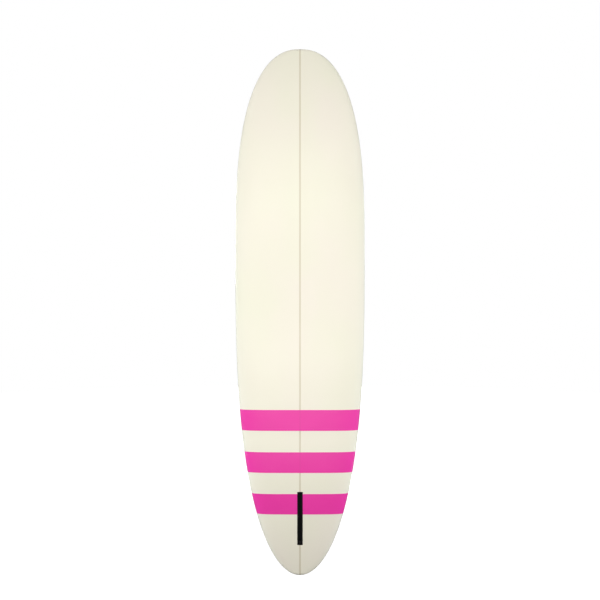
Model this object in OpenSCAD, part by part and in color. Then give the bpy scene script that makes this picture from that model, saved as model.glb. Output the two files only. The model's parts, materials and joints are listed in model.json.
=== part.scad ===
// Longboard surfboard with a centre fin box and a leash plug.
// It stands on its tail: +Z runs from the tail tip to the nose, the deck faces -Y and the bottom faces +Y.
// The origin is the tail tip. A share of the length is counted from the tail tip, 0, to the nose tip, 1.

/* [Outline] */
// Length from tail tip to nose tip
board_l = 2591; // [2440:1:2750]
// Width at the widest point
board_w = 626; // [580:1:640]
// Widest point, as a share of the length
wide_at = 0.62; // [0.55:0.01:0.66]
// How long the outline stays wide ahead of the widest point
nose_hold = 2.76; // [2.2:0.01:3.2]
// How full the nose is
nose_fullness = 2.32; // [2:0.01:2.6]
// How long the outline stays wide behind the widest point
tail_hold = 2.81; // [2.2:0.01:3.2]
// How full the tail is
tail_fullness = 2.01; // [1.8:0.01:2.4]

/* [Rocker and thickness] */
// How far the nose tip curves up from the lowest point of the bottom
nose_rocker = 135; // [100:1:160]
// How late the nose curve begins
nose_flip = 3.25; // [2.5:0.05:4]
// How far the tail tip curves up
tail_rocker = 88; // [60:1:100]
// How late the tail curve begins
tail_flip = 2; // [1.8:0.05:2.6]
// Lowest point of the bottom, as a share of the length
low_at = 0.45; // [0.42:0.01:0.5]
// Greatest thickness, on the centre line
board_t = 86; // [76:1:95]
// Thickest point, as a share of the length
thick_at = 0.5; // [0.46:0.01:0.54]
// Thickness just inside the rounded nose tip
nose_tip_t = 24; // [20:1:28]
// Thickness just inside the rounded tail tip
tail_tip_t = 20; // [18:1:26]
// How long the thickness is kept towards the nose
nose_foil = 3.53; // [3:0.01:4]
// How long the thickness is kept towards the tail
tail_foil = 3.06; // [2.8:0.01:3.4]
// Length over which each tip rounds off
tip_round = 14; // [12:1:18]

/* [Cross-section] */
// Height of the rail's outermost line, as a share of the thickness, from the bottom
apex = 0.45; // [0.4:0.01:0.5]
// How flat the bottom is
bottom_flatness = 5; // [4:0.1:6]
// How flat the deck is
deck_flatness = 2.6; // [2.3:0.1:3]

/* [Skin] */
// Thickness of a colour band
band_t = 0.3; // [0.3:0.05:0.4]
// Thickness of one layer of glass cloth and resin
cloth_t = 0.5; // [0.4:0.05:0.5]
// Thickness of the timber stringer
stringer_t = 4.5; // [3:0.5:6]

/* [Colour bands] */
// Distance from the tail tip to the rear band
first_band = 309; // [290:1:320]
// Width of each band, along the board
band_w = 101; // [80:1:104]
// Bare distance between two bands
band_gap = 104; // [90:1:110]

/* [Fin box] */
// Length of the fin box
box_l = 267; // [254:1:270]
// Width of the fin box
box_w = 27; // [24:1:28]
// Depth of the fin box
box_h = 21; // [20:0.5:21]
// Distance from the tail tip to the middle of the fin box
box_at = 288; // [276:1:300]
// Corner radius of the fin box, seen from below
box_corner = 3; // [2:0.5:4]
// Width of the slot that takes the fin's tab
slot_w = 9.5; // [9:0.1:10]
// Depth of the slot
slot_h = 18; // [16:0.5:18]
// Width of the undercut that holds the fin plate
groove_w = 13.6; // [13.4:0.1:14]
// Height of the undercut
groove_h = 3.6; // [3.4:0.1:4]
// Depth of the undercut's upper side
groove_depth = 5; // [4.5:0.5:6]

/* [Fin plate] */
// Side of the square fin plate
plate_w = 13; // [12.4:0.1:13]
// Thickness of the fin plate
plate_t = 3; // [2.8:0.1:3]
// Drill diameter of the plate's M4 thread
thread_d = 3.3; // [3:0.1:3.5]

/* [Leash plug] */
// Distance from the tail tip to the leash plug
plug_at = 159; // [150:1:170]
// Diameter of the cup's rim
rim_d = 28; // [27:1:30]
// Thickness of the cup's rim
rim_t = 2; // [1.6:0.2:2.4]
// Diameter of the cup's body
cup_d = 23; // [22:1:24]
// Depth of the cup's body
cup_h = 15; // [14:0.5:15]
// Diameter of the cup's hollow
hollow_d = 17; // [16:0.5:18]
// Depth of the cup's hollow
hollow_h = 11.5; // [11:0.5:12]
// Diameter of the leash pin
pin_d = 4.8; // [4:0.1:5]
// Length of the leash pin
pin_l = 21; // [20:0.5:21]
// Depth of the leash pin's centre line
pin_depth = 4.5; // [4:0.1:5]

/* [Hidden] */

foam_colour = [0.96, 0.95, 0.9];
timber_colour = [0.72, 0.56, 0.36];
bottom_colour = [0.93, 0.92, 0.84];
deck_colour = [0.95, 0.94, 0.87];
band_colour = [0.93, 0.2, 0.65];
box_colour = [0.05, 0.05, 0.055];
resin_colour = [0.85, 0.84, 0.78];
metal_colour = [0.72, 0.73, 0.75];
plug_colour = [0.9, 0.9, 0.88];

// Depths of the skin's layers below the painted surface
shell_d = band_t;
lap_d = shell_d + cloth_t;
foam_d = lap_d + cloth_t;

box_wall = 6;
slot_l = box_l - 2 * box_wall;
notch_l = 16;
plate_gap = 0.25;
box_resin_t = 2;
plug_resin_t = 2;
over = 1;
$fn = 64;

// Points round a cross-section: 0 is the middle of the bottom, 90 the right rail and 180 the middle of the deck
turn_step = 11.25;
lap_turn = 45;
full_ring = [for (a = [0:turn_step:360 - turn_step]) a];
right_ring = [for (a = [0:turn_step:180]) a];
left_ring = [for (a = [180:turn_step:360]) a];
// Only the turns beside the centre line, for what lies in the middle of the board
middle_ring = [-turn_step, 0, turn_step, 180 - turn_step, 180, 180 + turn_step];

// Sections are close together at the tips and at the colour bands
tail_sections = 10;
band_sections = 3;
nose_sections = 26;
bands_end = first_band + 3 * band_w + 2 * band_gap;
tail_us = [for (i = [1:tail_sections - 1]) first_band * (1 - cos(90 * i / tail_sections)) / board_l];
band_us = [for (i = [0:2]) each concat(span(band_start(i), band_w), i < 2 ? span(band_start(i) + band_w, band_gap) : [])];
nose_us = [
  for (i = [0:nose_sections - 1]) (bands_end + (board_l - bands_end) * sin(90 * i / nose_sections)) / board_l
];
all_us = concat(tail_us, band_us, nose_us);
// The inner cloth stops this many sections short of each tip
cloth_margin = 3;

function band_start(i) = first_band + i * (band_w + band_gap);
function span(from, length) = [for (i = [0:band_sections - 1]) (from + length * i / band_sections) / board_l];

// Distance from a fullest point, at 0, to the tip on the same side, at 1
function past(u, at) = u > at ? (u - at) / (1 - at) : (at - u) / at;
function signed_pow(v, e) = sign(v) * pow(abs(v), e);

function half_width(u) =
  let (hold = u > wide_at ? nose_hold : tail_hold, fullness = u > wide_at ? nose_fullness : tail_fullness)
  board_w / 2 * pow(max(0, 1 - pow(past(u, wide_at), hold)), 1 / fullness);

function rocker(u) =
  u > low_at ? nose_rocker * pow(past(u, low_at), nose_flip) : tail_rocker * pow(past(u, low_at), tail_flip);

function thickness(u) =
  let (tip_t = u > thick_at ? nose_tip_t : tail_tip_t, foil = u > thick_at ? nose_foil : tail_foil)
  tip_t + (board_t - tip_t) * (1 - pow(past(u, thick_at), foil));

// The tips round off like the end of an ellipse
function tip_share(u) =
  let (from_tip = min(u, 1 - u) * board_l)
  from_tip >= tip_round ? 1 : sqrt(max(0, 1 - pow(1 - from_tip / tip_round, 2)));

// Line of the rail's outermost points, seen from the side
function rail_y(u) = tail_rocker + apex * tail_tip_t - rocker(u) - apex * thickness(u);
function bottom_h(u, d) = max(0, apex * thickness(u) * tip_share(u) - d);
function deck_h(u, d) = max(0, (1 - apex) * thickness(u) * tip_share(u) - d);
function along(u, d) = d + (board_l - 2 * d) * u;

// A point of the surface that lies d inside the painted surface, at share u and turn a
function skin(u, a, d) =
  let (
    c = cos(a),
    flatness = c > 0 ? bottom_flatness : deck_flatness,
    height = c > 0 ? bottom_h(u, d) : deck_h(u, d)
  )
  [
    half_width(u) * (1 - 2 * d / board_w) * signed_pow(sin(a), 2 / flatness),
    rail_y(u) + height * c,
    along(u, d)
  ];
function tip(u, d) = [0, rail_y(u), along(u, d)];

// Slopes of the bottom and the deck on the centre line, in degrees from +Z
slope_step = 0.001;
function bottom_y(u) = rail_y(u) + bottom_h(u, 0);
function deck_y(u) = rail_y(u) - deck_h(u, 0);
box_u = box_at / board_l;
plug_u = plug_at / board_l;
box_slope = atan((bottom_y(box_u + slope_step) - bottom_y(box_u - slope_step)) / (2 * slope_step * board_l));
plug_slope = atan((deck_y(plug_u + slope_step) - deck_y(plug_u - slope_step)) / (2 * slope_step * board_l));

// A closed sheet between two depths, which depend on the turn. It thins to nothing at both side edges
// and closes round both tips.
module tipped_sheet(us, turns, outer_d, inner_d, outer_tip_d, inner_tip_d) {
  n = len(us);
  m = len(turns);
  outer = [for (u = us, a = turns) skin(u, a, outer_d(a))];
  inner = [for (u = us, a = turns) skin(u, a, inner_d(a))];
  tips = [tip(0, outer_tip_d), tip(0, inner_tip_d), tip(1, outer_tip_d), tip(1, inner_tip_d)];
  tail_out = 2 * n * m;
  nose_out = tail_out + 2;
  function o(i, j) = i * m + j;
  function k(i, j) = (j == 0 || j == m - 1 ? 0 : n * m) + i * m + j;
  polyhedron(
    points = concat(outer, inner, tips),
    faces = concat(
      [for (i = [0:n - 2], j = [0:m - 2]) each quad(o(i, j), o(i, j + 1), o(i + 1, j + 1), o(i + 1, j))],
      [for (i = [0:n - 2], j = [0:m - 2]) each quad(k(i, j), k(i + 1, j), k(i + 1, j + 1), k(i, j + 1))],
      [for (j = [0:m - 2]) [tail_out, o(0, j + 1), o(0, j)]],
      [for (j = [0:m - 2]) [tail_out + 1, k(0, j), k(0, j + 1)]],
      [for (j = [0:m - 2]) [nose_out, o(n - 1, j), o(n - 1, j + 1)]],
      [for (j = [0:m - 2]) [nose_out + 1, k(n - 1, j + 1), k(n - 1, j)]],
      [[tail_out, o(0, 0), tail_out + 1], [tail_out, tail_out + 1, o(0, m - 1)]],
      [[nose_out, nose_out + 1, o(n - 1, 0)], [nose_out, o(n - 1, m - 1), nose_out + 1]]
    )
  );
}

// The same with square ends, which stops short of the tips
module cut_sheet(us, turns, outer_d, inner_d) {
  n = len(us);
  m = len(turns);
  outer = [for (u = us, a = turns) skin(u, a, outer_d(a))];
  inner = [for (u = us, a = turns) skin(u, a, inner_d(a))];
  function o(i, j) = i * m + j;
  function k(i, j) = (j == 0 || j == m - 1 ? 0 : n * m) + i * m + j;
  polyhedron(
    points = concat(outer, inner),
    faces = concat(
      [for (i = [0:n - 2], j = [0:m - 2]) each quad(o(i, j), o(i, j + 1), o(i + 1, j + 1), o(i + 1, j))],
      [for (i = [0:n - 2], j = [0:m - 2]) each quad(k(i, j), k(i + 1, j), k(i + 1, j + 1), k(i, j + 1))],
      [for (j = [0:m - 2]) each quad(o(0, j), k(0, j), k(0, j + 1), o(0, j + 1))],
      [for (j = [0:m - 2]) each quad(o(n - 1, j), o(n - 1, j + 1), k(n - 1, j + 1), k(n - 1, j))]
    )
  );
}

// Two triangles, without those that shrink to a line where a sheet thins to nothing
function quad(a, b, c, d) = [for (t = [[a, b, c], [a, c, d]]) if (t[0] != t[1] && t[1] != t[2] && t[2] != t[0]) t];

// A closed band right round the board, between two depths
module ring_band(us, outer_d, inner_d) {
  n = len(us);
  m = len(full_ring);
  outer = [for (u = us, a = full_ring) skin(u, a, outer_d)];
  inner = [for (u = us, a = full_ring) skin(u, a, inner_d)];
  function o(i, j) = i * m + j % m;
  function k(i, j) = n * m + o(i, j);
  polyhedron(
    points = concat(outer, inner),
    faces = concat(
      [for (i = [0:n - 2], j = [0:m - 1]) each quad(o(i, j), o(i, j + 1), o(i + 1, j + 1), o(i + 1, j))],
      [for (i = [0:n - 2], j = [0:m - 1]) each quad(k(i, j), k(i + 1, j), k(i + 1, j + 1), k(i, j + 1))],
      [for (j = [0:m - 1]) each quad(o(0, j), k(0, j), k(0, j + 1), o(0, j + 1))],
      [for (j = [0:m - 1]) each quad(o(n - 1, j), o(n - 1, j + 1), k(n - 1, j + 1), k(n - 1, j))]
    )
  );
}

// The body inside depth d, through the given turns only. Its facets match those of the sheets.
module body(d, turns) {
  n = len(all_us);
  m = len(turns);
  sides = [for (u = all_us, a = turns) skin(u, a, d)];
  tail = n * m;
  nose = tail + 1;
  function o(i, j) = i * m + j % m;
  polyhedron(
    points = concat(sides, [tip(0, d), tip(1, d)]),
    faces = concat(
      [for (i = [0:n - 2], j = [0:m - 1]) each quad(o(i, j), o(i, j + 1), o(i + 1, j + 1), o(i + 1, j))],
      [for (j = [0:m - 1]) [tail, o(0, j + 1), o(0, j)]],
      [for (j = [0:m - 1]) [nose, o(n - 1, j), o(n - 1, j + 1)]]
    )
  );
}

// The plane slice that the stringer is cut from
module stringer_space() {
  translate([-stringer_t / 2, -board_w / 2, -over])
    cube([stringer_t, board_w, board_l + 2 * over]);
}

// Local axes of the fin box: +Z out of the bottom, +Y towards the tail
module at_fin_box() {
  translate([0, bottom_y(box_u), box_at])
    rotate([-90 - box_slope, 0, 0])
      children();
}

// Local axes of the leash plug: +Z out of the deck, +Y towards the nose
module at_leash_plug() {
  translate([0, deck_y(plug_u), plug_at])
    rotate([90 - plug_slope, 0, 0])
      children();
}

module rounded_plan(w, l, r) {
  square([w - 2 * r, l], center = true);
  square([w, l - 2 * r], center = true);
  for (x = [-1, 1], y = [-1, 1])
    translate([x * (w / 2 - r), y * (l / 2 - r)])
      circle(r);
}

// The fin box's outside, grown by a margin, from a depth up to above the surface
module box_space(margin, depth) {
  at_fin_box()
    translate([0, 0, -depth])
      linear_extrude(depth + over * 4)
        rounded_plan(box_w + 2 * margin, box_l + 2 * margin, box_corner + margin);
}

module plug_space(d, depth) {
  at_leash_plug()
    translate([0, 0, -depth])
      cylinder(d = d, h = depth + over * 4);
}

// The pockets routed into the foam and the stringer
module routed_pockets() {
  box_space(box_resin_t, box_h + box_resin_t);
  plug_space(rim_d + 2 * plug_resin_t, cup_h + plug_resin_t);
}

module foam_left() {
  color(foam_colour)
    difference() {
      body(foam_d, left_ring);
      stringer_space();
      routed_pockets();
    }
}

module foam_right() {
  color(foam_colour)
    difference() {
      body(foam_d, right_ring);
      stringer_space();
      routed_pockets();
    }
}

module stringer() {
  color(timber_colour)
    difference() {
      intersection() {
        body(foam_d, middle_ring);
        stringer_space();
      }
      routed_pockets();
    }
}

// Full depth across the bottom, one cloth deep on the rails, thinning out on the deck
module bottom_laminate() {
  turns = [for (a = [lap_turn - 180:turn_step:180 - lap_turn]) a];
  color(bottom_colour)
    difference() {
      tipped_sheet(
        all_us, turns,
        function (a) abs(a) <= lap_turn ? shell_d : abs(a) >= 180 - lap_turn ? foam_d : lap_d,
        function (a) foam_d, lap_d, foam_d
      );
      box_space(0, box_h);
    }
}

// The outer cloth, over the deck and round the rails, thinning out on the bottom
module deck_laminate() {
  turns = [for (a = [lap_turn:turn_step:360 - lap_turn]) a];
  color(deck_colour)
    difference() {
      tipped_sheet(
        all_us, turns,
        function (a) shell_d,
        function (a) a <= lap_turn || a >= 360 - lap_turn ? shell_d : lap_d, shell_d, lap_d
      );
      plug_space(rim_d, cup_h);
    }
}

// The second layer of cloth under a longboard's deck, between the laps of the bottom cloth
module deck_inner_cloth() {
  edge = lap_turn + turn_step;
  turns = [for (a = [180 - edge:turn_step:180 + edge]) a];
  us = [for (i = [cloth_margin:len(all_us) - 1 - cloth_margin]) all_us[i]];
  color(deck_colour)
    difference() {
      cut_sheet(
        us, turns,
        function (a) lap_d,
        function (a) abs(a - 180) >= edge ? lap_d : foam_d
      );
      plug_space(rim_d, cup_h);
    }
}

module colour_band(i) {
  us = [for (s = [0:band_sections]) (band_start(i) + band_w * s / band_sections) / board_l];
  color(band_colour)
    difference() {
      ring_band(us, 0, shell_d);
      box_space(0, box_h);
    }
}

module rear_colour_band() {
  colour_band(0);
}

module middle_colour_band() {
  colour_band(1);
}

module front_colour_band() {
  colour_band(2);
}

// A moulded channel, sanded flush with the bottom. Its undercut holds the fin plate, which drops in at the notch.
module fin_box() {
  color(box_colour)
    difference() {
      intersection() {
        box_space(0, box_h);
        body(0, middle_ring);
      }
      at_fin_box() {
        translate([-slot_w / 2, -slot_l / 2, -slot_h])
          cube([slot_w, slot_l, slot_h + over]);
        translate([-groove_w / 2, -slot_l / 2, -groove_depth - groove_h])
          cube([groove_w, slot_l, groove_h]);
        translate([-groove_w / 2, -notch_l / 2, -groove_depth - over])
          cube([groove_w, notch_l, groove_depth + 2 * over]);
      }
    }
}

// Resin cast round the fin box, up to the underside of the glass
module fin_box_resin() {
  color(resin_colour)
    difference() {
      intersection() {
        box_space(box_resin_t, box_h + box_resin_t);
        body(foam_d, middle_ring);
      }
      box_space(0, box_h);
    }
}

// A square nut, at the tail end of the fin box, where it slides to when the board stands up
module fin_plate() {
  color(metal_colour)
    at_fin_box()
      translate([0, (slot_l - plate_w) / 2 - plate_gap, -groove_depth - (groove_h + plate_t) / 2])
        difference() {
          linear_extrude(plate_t)
            square(plate_w, center = true);
          translate([0, 0, -over])
            cylinder(d = thread_d, h = plate_t + 2 * over);
        }
}

module leash_cup() {
  color(plug_colour)
    difference() {
      intersection() {
        at_leash_plug() {
          translate([0, 0, -cup_h])
            cylinder(d = cup_d, h = cup_h + over);
          translate([0, 0, -rim_t])
            cylinder(d = rim_d, h = rim_t + over);
        }
        body(0, middle_ring);
      }
      at_leash_plug()
        translate([0, 0, -hollow_h])
          cylinder(d = hollow_d, h = hollow_h + 2 * over);
      leash_pin_space();
    }
}

module leash_pin_space() {
  at_leash_plug()
    translate([-pin_l / 2, 0, -pin_depth])
      rotate([0, 90, 0])
        cylinder(d = pin_d, h = pin_l);
}

// A metal bar across the cup, for the leash's cord
module leash_pin() {
  color(metal_colour)
    leash_pin_space();
}

// Resin cast round the leash cup
module leash_plug_resin() {
  color(resin_colour)
    difference() {
      intersection() {
        plug_space(rim_d + 2 * plug_resin_t, cup_h + plug_resin_t);
        body(foam_d, middle_ring);
      }
      plug_space(cup_d, cup_h);
      at_leash_plug()
        translate([0, 0, -rim_t])
          cylinder(d = rim_d, h = rim_t + over);
    }
}

foam_left();
foam_right();
stringer();
bottom_laminate();
deck_laminate();
deck_inner_cloth();
rear_colour_band();
middle_colour_band();
front_colour_band();
fin_box();
fin_box_resin();
fin_plate();
leash_cup();
leash_pin();
leash_plug_resin();
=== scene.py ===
import json
import math

import bpy
import numpy as np
from mathutils import Matrix, Vector


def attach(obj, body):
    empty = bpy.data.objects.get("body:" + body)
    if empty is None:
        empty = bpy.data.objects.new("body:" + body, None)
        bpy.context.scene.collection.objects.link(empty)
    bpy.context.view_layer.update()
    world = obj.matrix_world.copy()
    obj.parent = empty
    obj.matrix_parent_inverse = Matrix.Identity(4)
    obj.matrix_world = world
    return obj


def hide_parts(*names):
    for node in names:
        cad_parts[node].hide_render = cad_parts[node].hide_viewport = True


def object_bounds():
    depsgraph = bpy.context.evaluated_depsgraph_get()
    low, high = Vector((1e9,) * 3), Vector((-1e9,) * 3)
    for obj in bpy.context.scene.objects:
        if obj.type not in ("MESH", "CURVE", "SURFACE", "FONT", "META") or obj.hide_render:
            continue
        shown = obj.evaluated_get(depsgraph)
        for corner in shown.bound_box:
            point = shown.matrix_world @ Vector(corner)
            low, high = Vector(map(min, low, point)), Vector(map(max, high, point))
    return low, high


# Looks of a longboard surfboard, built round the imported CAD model.
# +Z runs from the tail tip to the nose, the deck faces -Y and the bottom faces +Y. The board's sizes and
# formulas are in millimetres, as boards are dimensioned; meshes, lights and the camera are in metres.

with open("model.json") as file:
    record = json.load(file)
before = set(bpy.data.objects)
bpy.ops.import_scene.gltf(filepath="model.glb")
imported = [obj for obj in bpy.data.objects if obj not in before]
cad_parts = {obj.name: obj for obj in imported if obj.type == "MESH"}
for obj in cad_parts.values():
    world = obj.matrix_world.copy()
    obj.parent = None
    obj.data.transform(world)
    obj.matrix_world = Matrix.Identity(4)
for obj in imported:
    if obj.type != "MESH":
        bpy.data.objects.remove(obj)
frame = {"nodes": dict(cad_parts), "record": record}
cad_low, cad_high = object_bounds()
MM = 0.001

# ---- The board's shape, with the driving dimensions of the CAD source ----
BOARD_L, BOARD_W, BOARD_T = 2591, 626, 86
# Share of the thickness that lies on the bottom's side of the rail line
APEX = 0.45
# How flat each side of the cross-section is, where 2 gives an ellipse
FLATNESS = {"bottom": 5.0, "deck": 2.6}
# Each end's rise (rocker) and its tip's thickness, and powers: the higher they are, the longer the end holds
# its width (hold), the rounder its outline is (fullness), the later it rises (flip) and thins out (foil)
NOSE = {"hold": 2.76, "fullness": 2.32, "rocker": 135, "flip": 3.25, "tip_t": 24, "foil": 3.53}
TAIL = {"hold": 2.81, "fullness": 2.01, "rocker": 88, "flip": 2.0, "tip_t": 20, "foil": 3.06}
# Shares of the length, from the tail, where the board is widest, lowest and thickest
WIDE_AT, LOW_AT, THICK_AT = 0.62, 0.45, 0.5
# Length over which each tip rounds off
TIP_ROUND = 14
# Depths below the painted surface of the outer glass, of the glass under a lap, and of the foam
BAND_T, CLOTH_T = 0.3, 0.5
SHELL_D = BAND_T
LAP_D = SHELL_D + CLOTH_T
FOAM_D = LAP_D + CLOTH_T
# Each laminate laps round the rails until this many degrees from the middle of the other side
LAP_TURN = 45
# The first band's distance from the tail tip, the bands' width and the gap between them
FIRST_BAND, BAND_W, BAND_GAP = 309, 101, 104

# ---- The fineness of the meshes ----
# Sections along the board, and the share of their spacing that draws them together towards the tips
STATIONS, CROWDING = 300, 0.35
# Sections round each tip, and how many times its rounding they reach
TIP_STATIONS, TIP_REACH = 13, 1.2
# Sections across a colour band
BAND_STATIONS = 14
# Degrees from a side's middle where its flat ends, steps across it, and degrees between steps round the rail
FLAT_TURN, FLAT_STEPS, RAIL_STEP = 35, 12, 2.5


def past(u, at):
    """Distance from a fullest point, at 0, to the tip on the same side, at 1."""
    return np.where(u > at, (u - at) / (1 - at), (at - u) / at)


def by_end(u, at, key):
    return np.where(u > at, NOSE[key], TAIL[key])


def half_width(u):
    share = 1 - past(u, WIDE_AT) ** by_end(u, WIDE_AT, "hold")
    return BOARD_W / 2 * np.maximum(0, share) ** (1 / by_end(u, WIDE_AT, "fullness"))


def rocker(u):
    return by_end(u, LOW_AT, "rocker") * past(u, LOW_AT) ** by_end(u, LOW_AT, "flip")


def thickness(u):
    tip_t = by_end(u, THICK_AT, "tip_t")
    return tip_t + (BOARD_T - tip_t) * (1 - past(u, THICK_AT) ** by_end(u, THICK_AT, "foil"))


def tip_share(u):
    """The tips round off like the end of an ellipse."""
    from_tip = np.minimum(u, 1 - u) * BOARD_L
    return np.sqrt(np.maximum(0, 1 - np.maximum(0, 1 - from_tip / TIP_ROUND) ** 2))


def rail_y(u):
    """Line of the rail's outermost points, seen from the side."""
    return TAIL["rocker"] + APEX * TAIL["tip_t"] - rocker(u) - APEX * thickness(u)


def side_h(u, depth, side):
    """Height of the bottom or the deck above the rail line, on the centre line, at a depth in the skin."""
    share = APEX if side == "bottom" else 1 - APEX
    return np.maximum(0, share * thickness(u) * tip_share(u) - depth)


def skin_point(u, turn, depth):
    """A point that lies depth inside the painted surface. Turn 0 is the bottom's middle, and 90 is a rail."""
    c, s = math.cos(math.radians(turn)), math.sin(math.radians(turn))
    side = "bottom" if c > 0 else "deck"
    on_centre_line = abs(s) < 1e-9
    across = 0.0 if on_centre_line else math.copysign(abs(s) ** (2 / FLATNESS[side]), s)
    x = half_width(u) * (1 - 2 * depth / BOARD_W) * across
    y = rail_y(u) + side_h(u, depth, side) * c
    return np.stack([x, y, depth + (BOARD_L - 2 * depth) * u], -1)


def band_start(i):
    return FIRST_BAND + i * (BAND_W + BAND_GAP)


def quarter_turns(side):
    """Turns from the middle of one side to the rail: even steps across the flat, then round the rail."""
    power = 2 / FLATNESS[side]
    flat = math.sin(math.radians(FLAT_TURN)) ** power
    across = [flat * i / FLAT_STEPS for i in range(FLAT_STEPS)]
    turns = [math.degrees(math.asin(q ** (1 / power))) for q in across]
    return turns + list(np.arange(FLAT_TURN, 90, RAIL_STEP)) + [90.0]


def ring_turns():
    """Turns all the way round, from the middle of the bottom."""
    bottom, deck = quarter_turns("bottom"), quarter_turns("deck")
    right = bottom + [180 - t for t in reversed(deck[:-1])]
    return right + [360 - t for t in reversed(right[1:-1])]


RING = ring_turns()


def turns_between(start, end):
    """The ring's turns from start to end, where start may be below 0."""
    near = 1e-6
    both = [t - 360 for t in RING] + RING
    return [t for t in both if start - near <= t <= end + near]


def board_us():
    """Shares of the length, from tail to nose, close together at the tips."""
    even = np.linspace(0, 1, STATIONS + 1)[1:-1]
    crowded = (1 - np.cos(math.pi * even)) / 2
    us = crowded * CROWDING + even * (1 - CROWDING)
    tip = (1 - np.cos(np.linspace(0, math.pi / 2, TIP_STATIONS + 1)[1:])) * TIP_ROUND * TIP_REACH / BOARD_L
    us = us[(us > tip[-1]) & (us < 1 - tip[-1])]
    return np.concatenate([tip, us, 1 - tip[::-1]])


# ---- Mesh making ----
def new_object(name, points, faces):
    """An object in the scene from points in millimetres."""
    mesh = bpy.data.meshes.new(name)
    mesh.from_pydata([tuple(p) for p in np.asarray(points) * MM], [], faces)
    mesh.update()
    obj = bpy.data.objects.new(name, mesh)
    bpy.context.scene.collection.objects.link(obj)
    return obj


def tipped_sheet(name, turns, outer_d, inner_d, tip_outer_d, tip_inner_d):
    """A closed sheet between two depths that depend on the turn. It closes round both tips."""
    us = board_us()
    n, m = len(us), len(turns)
    outer = np.stack([skin_point(us, t, outer_d(t)) for t in turns], 1).reshape(-1, 3)
    inner = np.stack([skin_point(us, t, inner_d(t)) for t in turns], 1).reshape(-1, 3)
    # the outer and the inner surface share their points along the side edges
    keep = [i * m + j for i in range(n) for j in range(1, m - 1)]
    index = {k: n * m + at for at, k in enumerate(keep)}
    ends = [(u, d) for u in (0.0, 1.0) for d in (tip_outer_d, tip_inner_d)]
    tips = [skin_point(np.array(u), 0, d) * [0, 0, 1] + [0, rail_y(np.array(u)), 0] for u, d in ends]
    tail_out, tail_in, nose_out, nose_in = (n * m + len(keep) + i for i in range(4))

    def o(i, j):
        return i * m + j

    def k(i, j):
        return index.get(i * m + j, i * m + j)

    faces = []
    for i in range(n - 1):
        for j in range(m - 1):
            faces.append([o(i, j), o(i + 1, j), o(i + 1, j + 1), o(i, j + 1)])
            faces.append([k(i, j), k(i, j + 1), k(i + 1, j + 1), k(i + 1, j)])
    for j in range(m - 1):
        faces.append([tail_out, o(0, j), o(0, j + 1)])
        faces.append([tail_in, k(0, j + 1), k(0, j)])
        faces.append([nose_out, o(n - 1, j + 1), o(n - 1, j)])
        faces.append([nose_in, k(n - 1, j), k(n - 1, j + 1)])
    faces.append([tail_out, tail_in, o(0, 0)])
    faces.append([tail_out, o(0, m - 1), tail_in])
    faces.append([nose_out, o(n - 1, 0), nose_in])
    faces.append([nose_out, nose_in, o(n - 1, m - 1)])
    return new_object(name, np.concatenate([outer, inner[keep], tips]), faces)


def ring_band(name, number):
    """A closed band right round the board, from the painted surface down to the glass."""
    us = (band_start(number) + BAND_W * np.arange(BAND_STATIONS + 1) / BAND_STATIONS) / BOARD_L
    n, m = len(us), len(RING)
    outer = np.stack([skin_point(us, t, 0) for t in RING], 1).reshape(-1, 3)
    inner = np.stack([skin_point(us, t, SHELL_D) for t in RING], 1).reshape(-1, 3)

    def o(i, j):
        return i * m + j % m

    def k(i, j):
        return n * m + o(i, j)

    faces = []
    for j in range(m):
        for i in range(n - 1):
            faces.append([o(i, j), o(i + 1, j), o(i + 1, j + 1), o(i, j + 1)])
            faces.append([k(i, j), k(i, j + 1), k(i + 1, j + 1), k(i + 1, j)])
        faces.append([o(0, j), o(0, j + 1), k(0, j + 1), k(0, j)])
        faces.append([o(n - 1, j), k(n - 1, j), k(n - 1, j + 1), o(n - 1, j + 1)])
    return new_object(name, np.concatenate([outer, inner]), faces)


def surface_level(points, depth):
    """A value that is 1 on the surface at a depth, less inside it and more outside it."""
    least_height = 0.05
    u = np.clip((points[:, 2] - depth) / (BOARD_L - 2 * depth), 1e-7, 1 - 1e-7)
    rise = points[:, 1] - rail_y(u)
    wide = np.abs(points[:, 0]) / (half_width(u) * (1 - 2 * depth / BOARD_W))
    on_bottom = rise > 0
    height = np.where(on_bottom, side_h(u, depth, "bottom"), side_h(u, depth, "deck"))
    power = np.where(on_bottom, FLATNESS["bottom"], FLATNESS["deck"])
    # on the rail line both sides give the same value, so the slope runs on without a crease
    return (wide ** power + (rise / np.maximum(height, least_height)) ** 2) ** (1 / power)


def surface_direction(points, depth):
    """Outward directions of the surface at a depth, at points in millimetres."""
    step = 0.02
    slopes = []
    for axis in range(3):
        shift = np.zeros(3)
        shift[axis] = step
        slopes.append(surface_level(points + shift, depth) - surface_level(points - shift, depth))
    slopes = np.stack(slopes, -1)
    return slopes / np.maximum(np.linalg.norm(slopes, axis=1, keepdims=True), 1e-12)


def true_normals(obj, depth):
    """Gives the outer faces the surface's own normals, so that pieces meet without a visible seam."""
    tip_zone = 0.4
    least_agreement = 0.85
    mesh = obj.data
    points = np.zeros(len(mesh.vertices) * 3)
    mesh.vertices.foreach_get("co", points)
    points = points.reshape(-1, 3) / MM
    directions = surface_direction(points, depth)
    directions[points[:, 2] < tip_zone] = (0, 0, -1)
    directions[points[:, 2] > BOARD_L - tip_zone] = (0, 0, 1)
    normals = []
    for face in mesh.polygons:
        face.use_smooth = True
        own = np.array(face.normal)
        smooth = own @ directions[list(face.vertices)].mean(0) > least_agreement
        for v in face.vertices:
            normals.append(tuple(directions[v]) if smooth else tuple(own))
    mesh.normals_split_custom_set(normals)


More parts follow.
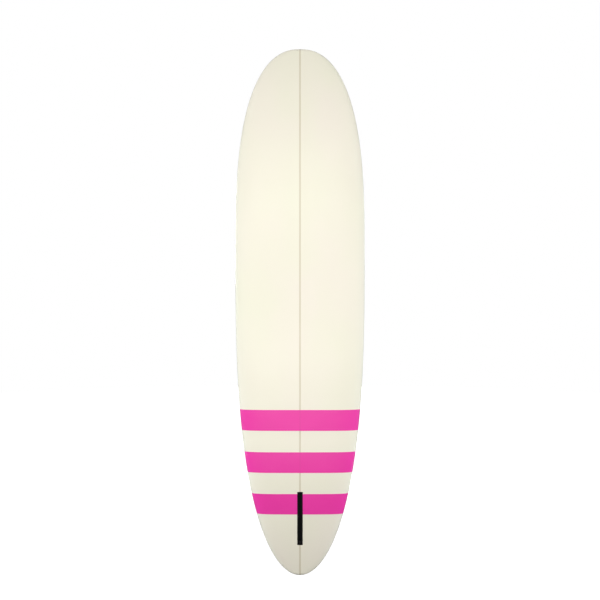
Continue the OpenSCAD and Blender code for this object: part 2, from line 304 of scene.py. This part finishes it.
# ---- Local frames and outlines of the fittings ----
def local_frame(mount_name, along):
    """Matrix whose origin and +Z are those of a mount in the record, and whose +Y is nearest to along."""
    mount = next(m for m in frame["record"]["mounts"] if m["name"] == mount_name)
    z = Vector(mount["axis"]).normalized()
    y = (Vector(along) - z * Vector(along).dot(z)).normalized()
    matrix = Matrix((y.cross(z), y, z)).transposed().to_4x4()
    matrix.translation = Vector(mount["pos_m"])
    return matrix


BOX_FRAME = local_frame("fin_slot", (0, 0, -1))
PLUG_FRAME = local_frame("leash_bar", (0, 0, 1))
BOX_L, BOX_W, BOX_CORNER = 267, 27, 3
RIM_D = 28
# Radius of the shade painted near black inside the plug's cup, and the width over which its colour changes
# into the rim
HOLLOW_SHADE_R, HOLLOW_SHADE_EDGE = 8.6, 0.3
# Height of a cutter above and below the surface
CUT_H = 12


def prism(name, outline, low, high, matrix):
    """A closed prism of an outline in millimetres, between two heights."""
    n = len(outline)
    points = [(x, y, z) for z in (low, high) for x, y in outline]
    faces = [list(range(n))[::-1], list(range(n, 2 * n))]
    faces += [[i, (i + 1) % n, n + (i + 1) % n, n + i] for i in range(n)]
    obj = new_object(name, points, faces)
    obj.data.transform(matrix)
    return obj


def rounded_plan(width, length, radius, steps=8):
    outline = []
    for corner, (sx, sy) in enumerate(((1, 1), (-1, 1), (-1, -1), (1, -1))):
        for i in range(steps + 1):
            a = math.radians(90 * corner + 90 * i / steps)
            x = sx * (width / 2 - radius) + radius * math.cos(a)
            outline.append((x, sy * (length / 2 - radius) + radius * math.sin(a)))
    return outline


def circle_plan(d, steps=64):
    """A round outline. Its corners lie off the board's centre line, where the skin has its own."""
    angles = [2 * math.pi * (i + 0.5) / steps for i in range(steps)]
    return [(d / 2 * math.cos(a), d / 2 * math.sin(a)) for a in angles]


def cut(obj, cutter):
    """Takes the cutter out of the piece."""
    modifier = obj.modifiers.new("cut", "BOOLEAN")
    modifier.operation = "DIFFERENCE"
    modifier.solver = "EXACT"
    modifier.object = cutter
    graph = bpy.context.evaluated_depsgraph_get()
    mesh = bpy.data.meshes.new_from_object(obj.evaluated_get(graph))
    obj.modifiers.clear()
    old = obj.data
    obj.data = mesh
    bpy.data.meshes.remove(old)


# ---- Materials ----
class Nodes:
    """Short calls for building a material's node tree."""

    def __init__(self, name):
        self.material = bpy.data.materials.new(name)
        self.material.use_nodes = True
        self.tree = self.material.node_tree
        self.tree.nodes.clear()
        self.shader = self.add("ShaderNodeBsdfPrincipled")
        self.output = self.add("ShaderNodeOutputMaterial")
        self.link(self.shader.outputs[0], self.output.inputs["Surface"])
        self.coords = self.add("ShaderNodeTexCoord").outputs["Object"]

    def add(self, kind, **settings):
        node = self.tree.nodes.new(kind)
        for key, value in settings.items():
            setattr(node, key, value)
        return node

    def link(self, source, target):
        self.tree.links.new(source, target)

    def put(self, value, socket):
        """Links an output to the socket, or sets the socket to a plain value."""
        if isinstance(value, bpy.types.NodeSocket):
            self.link(value, socket)
        else:
            socket.default_value = value

    def math(self, operation, a, b=0.0):
        node = self.add("ShaderNodeMath", operation=operation)
        self.put(a, node.inputs[0])
        self.put(b, node.inputs[1])
        return node.outputs[0]

    def noise(self, scale, detail=3.0, roughness=0.5, stretch=(1, 1, 1), distortion=0.0):
        mapping = self.add("ShaderNodeMapping")
        self.link(self.coords, mapping.inputs["Vector"])
        mapping.inputs["Scale"].default_value = stretch
        node = self.add("ShaderNodeTexNoise")
        self.link(mapping.outputs[0], node.inputs["Vector"])
        node.inputs["Scale"].default_value = scale
        node.inputs["Detail"].default_value = detail
        node.inputs["Roughness"].default_value = roughness
        node.inputs["Distortion"].default_value = distortion
        return node.outputs["Fac"]

    def spread(self, value, low, high, to_low=0.0, to_high=1.0, smooth=False):
        """Maps low..high on to to_low..to_high, and stays at the ends beyond them."""
        node = self.add("ShaderNodeMapRange")
        if smooth:
            node.interpolation_type = "SMOOTHSTEP"
        for socket, number in zip(node.inputs, (value, low, high, to_low, to_high)):
            self.put(number, socket)
        return node.outputs[0]

    def patches(self, noise, to_low=0.0, to_high=1.0):
        """Spreads the middle of a noise's range, where most of it lies."""
        return self.spread(noise, 0.3, 0.7, to_low, to_high)

    def mix(self, share, a, b):
        node = self.add("ShaderNodeMix", data_type="RGBA")
        self.put(share, node.inputs["Factor"])
        self.put((*a, 1) if isinstance(a, tuple) else a, node.inputs["A"])
        self.put((*b, 1) if isinstance(b, tuple) else b, node.inputs["B"])
        return node.outputs["Result"]

    def axis(self, name):
        node = self.add("ShaderNodeSeparateXYZ")
        self.link(self.coords, node.inputs[0])
        return node.outputs[name]

    def bump(self, height, strength, distance):
        node = self.add("ShaderNodeBump")
        node.inputs["Strength"].default_value = strength
        node.inputs["Distance"].default_value = distance
        self.link(height, node.inputs["Height"])
        self.link(node.outputs[0], self.shader.inputs["Normal"])

    def set(self, **values):
        """Sets the shader's sockets, named with _ for a space."""
        for key, value in values.items():
            self.put(value, self.shader.inputs[key.replace("_", " ")])


def tinted(colour, factors):
    return tuple(c * f for c, f in zip(colour, factors))


def polished(n, patch_scale):
    """A hand-polished gloss coat over resin that is a little uneven."""
    n.set(Roughness=n.patches(n.noise(patch_scale), 0.3, 0.4), IOR=1.5)
    n.set(Coat_Weight=1.0, Coat_Roughness=0.03, Coat_IOR=1.5)
    n.bump(n.noise(4.0, detail=1.0, roughness=0.3, stretch=(1, 1, 0.4)), strength=0.02, distance=0.004)


def stringer_line(n, width, soft=3.0):
    """A share that is 1 on a strip of the centre line and fades out over soft, both in millimetres."""
    off = n.math("ABSOLUTE", n.axis("X"))
    return n.spread(off, (width - soft) / 2 * MM, (width + soft) / 2 * MM, 1.0, 0.0, smooth=True)


def glass_material(name, cream, line_share, line_width):
    """Resin-tinted glass over foam, with the stringer showing through as a line."""
    n = Nodes(name)
    cloudy = n.spread(n.noise(3.1, detail=2.0, stretch=(1, 1, 0.6)), 0.35, 0.65)
    denser = n.spread(n.noise(1.7, detail=1.0, stretch=(1, 1, 0.7), distortion=0.3), 0.4, 0.6)
    weave = n.spread(n.noise(260, detail=2.0), 0.25, 0.75)
    warm = tinted(cream, (1.0, 0.974, 1.01))
    green = tinted(cream, (0.972, 0.992, 0.962))
    thread = tinted(cream, (0.97, 0.96, 0.93))
    timber = tinted(cream, (0.66, 0.6, 0.5))
    tint = n.mix(cloudy, warm, green)
    tint = n.mix(n.math("MULTIPLY", denser, 0.7), tint, cream)
    tint = n.mix(n.math("MULTIPLY", weave, 0.12), tint, thread)
    grain = n.patches(n.noise(90, detail=4.0, roughness=0.6, stretch=(6, 1, 0.12)), 0.75, 1.0)
    line = n.math("MULTIPLY", stringer_line(n, line_width), line_share)
    n.set(Base_Color=n.mix(n.math("MULTIPLY", line, grain), tint, timber))
    polished(n, patch_scale=9)
    return n.material


def band_material():
    """Opaque pigmented resin, a little darker over the stringer."""
    n = Nodes("colour_band_gloss")
    cloudy = n.math("MULTIPLY", n.patches(n.noise(7)), 0.6)
    tint = n.mix(cloudy, (0.87, 0.042, 0.395), (0.83, 0.036, 0.37))
    line = n.math("MULTIPLY", stringer_line(n, 6.0), 0.35)
    n.set(Base_Color=n.mix(line, tint, (0.74, 0.04, 0.3)))
    polished(n, patch_scale=11)
    return n.material


def box_material():
    """Black moulded plastic, sanded on its face."""
    n = Nodes("box_plastic_black")
    speck = n.spread(n.noise(900, detail=2.0), 0.35, 0.75)
    n.set(Base_Color=n.mix(speck, (0.004, 0.004, 0.0045), (0.009, 0.009, 0.0095)))
    n.set(Roughness=n.patches(n.noise(160, roughness=0.6, stretch=(1, 1, 0.2)), 0.36, 0.52))
    n.set(IOR=1.48, Specular_IOR_Level=0.2)
    n.bump(n.noise(1500, detail=2.0), strength=0.15, distance=0.0002)
    return n.material


def metal_material(name, colour, stretch):
    """Brushed stainless steel."""
    n = Nodes(name)
    brushed = n.noise(420, detail=4.0, roughness=0.65, stretch=stretch)
    n.set(Base_Color=n.mix(n.patches(brushed), colour, tinted(colour, (0.82, 0.82, 0.82))))
    n.set(Metallic=1.0, Roughness=n.patches(brushed, 0.29, 0.42))
    n.bump(brushed, strength=0.2, distance=0.0001)
    return n.material


def plug_material():
    """A pale plastic rim, with painted shade: the cup's inside is coloured near black."""
    n = Nodes("plug_pale_painted_shade")
    across = n.math("POWER", n.axis("X"), 2.0)
    up = n.math("POWER", n.math("SUBTRACT", n.axis("Z"), PLUG_FRAME.translation.z), 2.0)
    from_axis = n.math("SQRT", n.math("ADD", across, up))
    # Painted shade: near black on everything within this radius of the plug's axis, fading into the pale rim
    # over a narrow edge
    hollow_shade = n.spread(from_axis, HOLLOW_SHADE_R * MM, (HOLLOW_SHADE_R + HOLLOW_SHADE_EDGE) * MM, 1.0, 0.0)
    pale = n.mix(n.patches(n.noise(60)), (0.83, 0.81, 0.7), (0.78, 0.75, 0.64))
    n.set(Base_Color=n.mix(hollow_shade, pale, (0.014, 0.014, 0.015)))
    n.set(Roughness=n.patches(n.noise(120), 0.3, 0.42), IOR=1.48)
    n.bump(n.noise(1200, detail=2.0), strength=0.1, distance=0.0002)
    return n.material


def timber_material():
    """Pale straight-grained timber, along the board."""
    n = Nodes("timber_grain")
    years = n.noise(60, detail=6.0, roughness=0.6, stretch=(4, 1, 0.04), distortion=0.4)
    rings = n.spread(years, 0.35, 0.65)
    fibre = n.patches(n.noise(700, roughness=0.6, stretch=(1, 1, 0.03)))
    tint = n.mix(rings, (0.62, 0.45, 0.27), (0.47, 0.31, 0.16))
    n.set(Base_Color=n.mix(n.math("MULTIPLY", fibre, 0.35), tint, (0.36, 0.22, 0.11)))
    n.set(Roughness=n.spread(fibre, 0, 1, 0.55, 0.75))
    n.bump(fibre, strength=0.3, distance=0.0004)
    return n.material


def foam_material():
    """Shaped polyurethane foam with its fine open cells."""
    n = Nodes("foam_cells")
    cells = n.add("ShaderNodeTexVoronoi")
    n.link(n.coords, cells.inputs["Vector"])
    cells.inputs["Scale"].default_value = 1600
    size = n.spread(cells.outputs["Distance"], 0, 0.8)
    n.set(Base_Color=n.mix(size, (0.9, 0.88, 0.79), (0.95, 0.93, 0.86)))
    n.set(Roughness=n.spread(size, 0, 1, 0.85, 0.98))
    n.bump(size, strength=0.4, distance=0.0003)
    return n.material


def cloth_material():
    """Laminated plain-weave glass cloth."""
    n = Nodes("laminated_cloth")
    # in radians a metre, which makes a thread every 1.5 mm
    pace = 4200
    warp = n.math("SINE", n.math("MULTIPLY", n.axis("X"), pace))
    weft = n.math("SINE", n.math("MULTIPLY", n.axis("Z"), pace))
    weave = n.spread(n.math("MULTIPLY", warp, weft), -1, 1)
    n.set(Base_Color=n.mix(weave, (0.84, 0.82, 0.73), (0.9, 0.88, 0.8)))
    n.set(Roughness=n.spread(weave, 0, 1, 0.35, 0.5))
    n.bump(weave, strength=0.3, distance=0.0002)
    return n.material


def cast_resin_material():
    """Clear resin with a little filler."""
    n = Nodes("cast_resin_filled")
    cloudy = n.patches(n.noise(120, detail=4.0))
    n.set(Base_Color=n.mix(cloudy, (0.78, 0.76, 0.66), (0.7, 0.67, 0.56)))
    n.set(Roughness=n.spread(cloudy, 0, 1, 0.3, 0.42))
    n.bump(n.noise(600, detail=2.0), strength=0.1, distance=0.0002)
    return n.material


def paint(obj, material):
    """Puts the material in every slot of the piece."""
    if not obj.data.materials:
        obj.data.materials.append(material)
    for slot in obj.material_slots:
        slot.link = "OBJECT"
        slot.material = material


# ---- The visible skins ----
def bottom_outer(turn):
    """Depth of the bottom laminate's outside: it goes under the deck's lap and thins out on the deck."""
    if abs(turn) <= LAP_TURN:
        return SHELL_D
    return FOAM_D if abs(turn) >= 180 - LAP_TURN else LAP_D


def deck_inner(turn):
    """Depth of the deck laminate's inside: it thins out at the ends of its laps, on the bottom."""
    return SHELL_D if turn <= LAP_TURN or turn >= 360 - LAP_TURN else LAP_D


bottom_skin = tipped_sheet(
    "bottom_skin", turns_between(LAP_TURN - 180, 180 - LAP_TURN),
    bottom_outer, lambda t: FOAM_D, LAP_D, FOAM_D,
)
deck_skin = tipped_sheet(
    "deck_skin", turns_between(LAP_TURN, 360 - LAP_TURN),
    lambda t: SHELL_D, deck_inner, SHELL_D, LAP_D,
)
bands = [ring_band(f"{name}_band_skin", i) for i, name in enumerate(("rear", "middle", "front"))]

box_cutter = prism("box_cutter", rounded_plan(BOX_W, BOX_L, BOX_CORNER), -CUT_H, CUT_H, BOX_FRAME)
plug_cutter = prism("plug_cutter", circle_plan(RIM_D), -CUT_H, CUT_H, PLUG_FRAME)
cut(bottom_skin, box_cutter)
cut(bands[0], box_cutter)
cut(deck_skin, plug_cutter)
for cutter in (box_cutter, plug_cutter):
    bpy.data.objects.remove(cutter)

bottom_glass = glass_material("bottom_glass_cream", (0.885, 0.857, 0.73), line_share=0.72, line_width=8.0)
deck_glass = glass_material("deck_glass_cream", (0.885, 0.86, 0.733), line_share=0.14, line_width=6.0)
band_gloss = band_material()
for piece, node, slot_name, material, depth in (
    (bottom_skin, "bottom_laminate", "bottom_glass", bottom_glass, SHELL_D),
    (deck_skin, "deck_laminate", "deck_glass", deck_glass, SHELL_D),
    (bands[0], "rear_colour_band", "colour_band", band_gloss, 0),
    (bands[1], "middle_colour_band", "colour_band", band_gloss, 0),
    (bands[2], "front_colour_band", "colour_band", band_gloss, 0),
):
    true_normals(piece, depth)
    paint(piece, material)
    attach(piece, "board")
    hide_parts(node)

# ---- The CAD nodes that stay ----
resin = cast_resin_material()
foam = foam_material()
for node, material in {
    "foam_left": foam,
    "foam_right": foam,
    "stringer": timber_material(),
    "deck_inner_cloth": cloth_material(),
    "fin_box": box_material(),
    "fin_box_resin": resin,
    "fin_plate": metal_material("plate_dark_steel", (0.11, 0.11, 0.115), stretch=(1, 1, 0.04)),
    "leash_cup": plug_material(),
    "leash_pin": metal_material("pin_dark_steel", (0.1, 0.1, 0.105), stretch=(0.04, 1, 1)),
    "leash_plug_resin": resin,
}.items():
    paint(frame["nodes"][node], material)


def soften_edges(node, width):
    """Rounds a moulded or machined node's sharp edges, on a modifier, so that they catch the light."""
    obj = frame["nodes"][node]
    weld = obj.modifiers.new("weld", "WELD")
    weld.merge_threshold = 2e-6
    bevel = obj.modifiers.new("soft_edges", "BEVEL")
    bevel.width = width * MM
    bevel.segments = 2
    bevel.limit_method = "ANGLE"
    bevel.angle_limit = math.radians(40)
    bevel.harden_normals = True


for node, width in {"fin_box": 0.4, "fin_plate": 0.25, "leash_cup": 0.3}.items():
    soften_edges(node, width)


# ---- Stage, light and camera ----
def build_floor(radius, sides=96):
    """A round floor that looks white, and throws little light back up on the board from nearby."""
    angles = [2 * math.pi * i / sides for i in range(sides)]
    rim = [(radius * math.cos(a) / MM, radius * math.sin(a) / MM, 0) for a in angles]
    floor = new_object("floor", [(0, 0, 0)] + rim, [[0, i + 1, (i + 1) % sides + 1] for i in range(sides)])
    n = Nodes("floor_white")
    distance = n.add("ShaderNodeVectorMath", operation="LENGTH")
    n.link(n.coords, distance.inputs[0])
    pale = n.mix(n.noise(3, detail=2.0), (0.6, 0.6, 0.6), (0.56, 0.56, 0.56))
    far = n.spread(distance.outputs["Value"], 1.0, 3.6)
    n.set(Base_Color=n.mix(far, (0.1, 0.1, 0.1), pale), Roughness=0.9, Specular_IOR_Level=0.1)
    seen = n.add("ShaderNodeLightPath").outputs["Is Camera Ray"]
    n.set(Emission_Color=(1, 1, 1, 1), Emission_Strength=seen)
    paint(floor, n.material)


def area_light(name, place, aim, size, watts, colour=(1, 1, 1), seen_by="both"):
    """A rectangular light that the camera doesn't see. seen_by is both, or diffuse or glossy alone."""
    data = bpy.data.lights.new(name, "AREA")
    data.shape = "RECTANGLE"
    data.size, data.size_y = size
    data.energy = watts
    data.color = colour
    light = bpy.data.objects.new(name, data)
    bpy.context.scene.collection.objects.link(light)
    light.location = place
    light.rotation_mode = "QUATERNION"
    light.rotation_quaternion = (Vector(aim) - Vector(place)).to_track_quat("-Z", "Y")
    light.visible_camera = False
    light.visible_glossy = seen_by != "diffuse"
    light.visible_diffuse = seen_by != "glossy"


def studio_world(lit_high, lit_low):
    """White behind the object, and a dimmer surround that lights it, darker towards the floor."""
    world = bpy.data.worlds.new("studio")
    bpy.context.scene.world = world
    world.use_nodes = True
    tree = world.node_tree
    tree.nodes.clear()
    out = tree.nodes.new("ShaderNodeOutputWorld")
    share = tree.nodes.new("ShaderNodeMixShader")
    path = tree.nodes.new("ShaderNodeLightPath")
    coords = tree.nodes.new("ShaderNodeTexCoord")
    split = tree.nodes.new("ShaderNodeSeparateXYZ")
    ramp = tree.nodes.new("ShaderNodeMapRange")
    around = tree.nodes.new("ShaderNodeBackground")
    behind = tree.nodes.new("ShaderNodeBackground")
    behind.inputs["Color"].default_value = (1, 1, 1, 1)
    around.inputs["Color"].default_value = (1, 1, 1, 1)
    for end, value in {"From Min": -0.4, "From Max": 0.6, "To Min": lit_low, "To Max": lit_high}.items():
        ramp.inputs[end].default_value = value
    for source, target in (
        (coords.outputs["Generated"], split.inputs[0]),
        (split.outputs["Z"], ramp.inputs["Value"]),
        (ramp.outputs[0], around.inputs["Strength"]),
        (path.outputs["Is Camera Ray"], share.inputs[0]),
        (around.outputs[0], share.inputs[1]),
        (behind.outputs[0], share.inputs[2]),
        (share.outputs[0], out.inputs["Surface"]),
    ):
        tree.links.new(source, target)


build_floor(radius=9.0)
studio_world(lit_high=0.48, lit_low=0.41)

# A high and a low key before each face light the matt base of the materials, and a wall of light behind
# them is what the gloss reflects. Each light's place and aim are (x, y, z), and the last number is watts.
KEY_TINT, KEY_SIZE = (1, 0.985, 0.94), (1.4, 1.0)
WALL_Z, WALL_H = 1.8, 3.3
for face, x, y, high_watts, low_watts, wall_watts in (
    ("bottom", 0.15, 2.4, 27.2, 25.6, 30),
    ("deck", -0.5, -2.4, 12.8, 34, 8),
):
    area_light(f"key_{face}_high", (x, y, 2.6), (0, 0, 2.1), KEY_SIZE, high_watts, KEY_TINT, "diffuse")
    area_light(f"key_{face}_low", (x, y, 0.6), (0, 0, 0.5), KEY_SIZE, low_watts, KEY_TINT, "diffuse")
    wall_y = 2.5 * y
    area_light(f"wall_{face}", (0, wall_y, WALL_Z), (0, 0, WALL_Z), (9, WALL_H), wall_watts, seen_by="glossy")

# Cooler lights fill the rails from both sides, the low ones close to the thin tail
SIDE_TINT, SIDE_AIM_Y = (0.84, 0.93, 1), 0.05
for side, way in (("left", -1), ("right", 1)):
    high, low = (way * 2.6, 0.3, 1.5), (way * 1.404, 0.1, 0.2)
    area_light(f"side_{side}_high", high, (0, SIDE_AIM_Y, 1.5), (0.6, 1.8), 12, SIDE_TINT, "diffuse")
    area_light(f"side_{side}_low", low, (0, SIDE_AIM_Y, 0.2), (0.4, 0.3), 5.5, SIDE_TINT, "diffuse")
    area_light(f"wall_{side}", (way * 5.98, 0.6, WALL_Z), (0, 0, WALL_Z), (3, WALL_H), 18, seen_by="glossy")

# Narrow strips draw the bright lines along the rails, seen from the deck
for side, way, watts in (("right", 1, 10), ("left", -1, 5)):
    area_light(f"strip_{side}", (way * 1.9, -1.3, 1.9), (way * 0.3, 0, 1.9), (0.1, 1.0), watts)

CAMERA_DISTANCE = 4.084
CAMERA_RISE = 0.052
camera_data = bpy.data.cameras.new("camera")
camera_data.lens = 50
camera_data.sensor_width = 36
camera = bpy.data.objects.new("camera", camera_data)
bpy.context.scene.collection.objects.link(camera)
camera.location = (0, CAMERA_DISTANCE, (cad_low.z + cad_high.z) / 2 + CAMERA_RISE)
camera.rotation_euler = (math.radians(90), 0, math.radians(180))
bpy.context.scene.camera = camera
bpy.context.scene.view_settings.view_transform = "Standard"
bpy.context.scene.view_settings.look = "None"
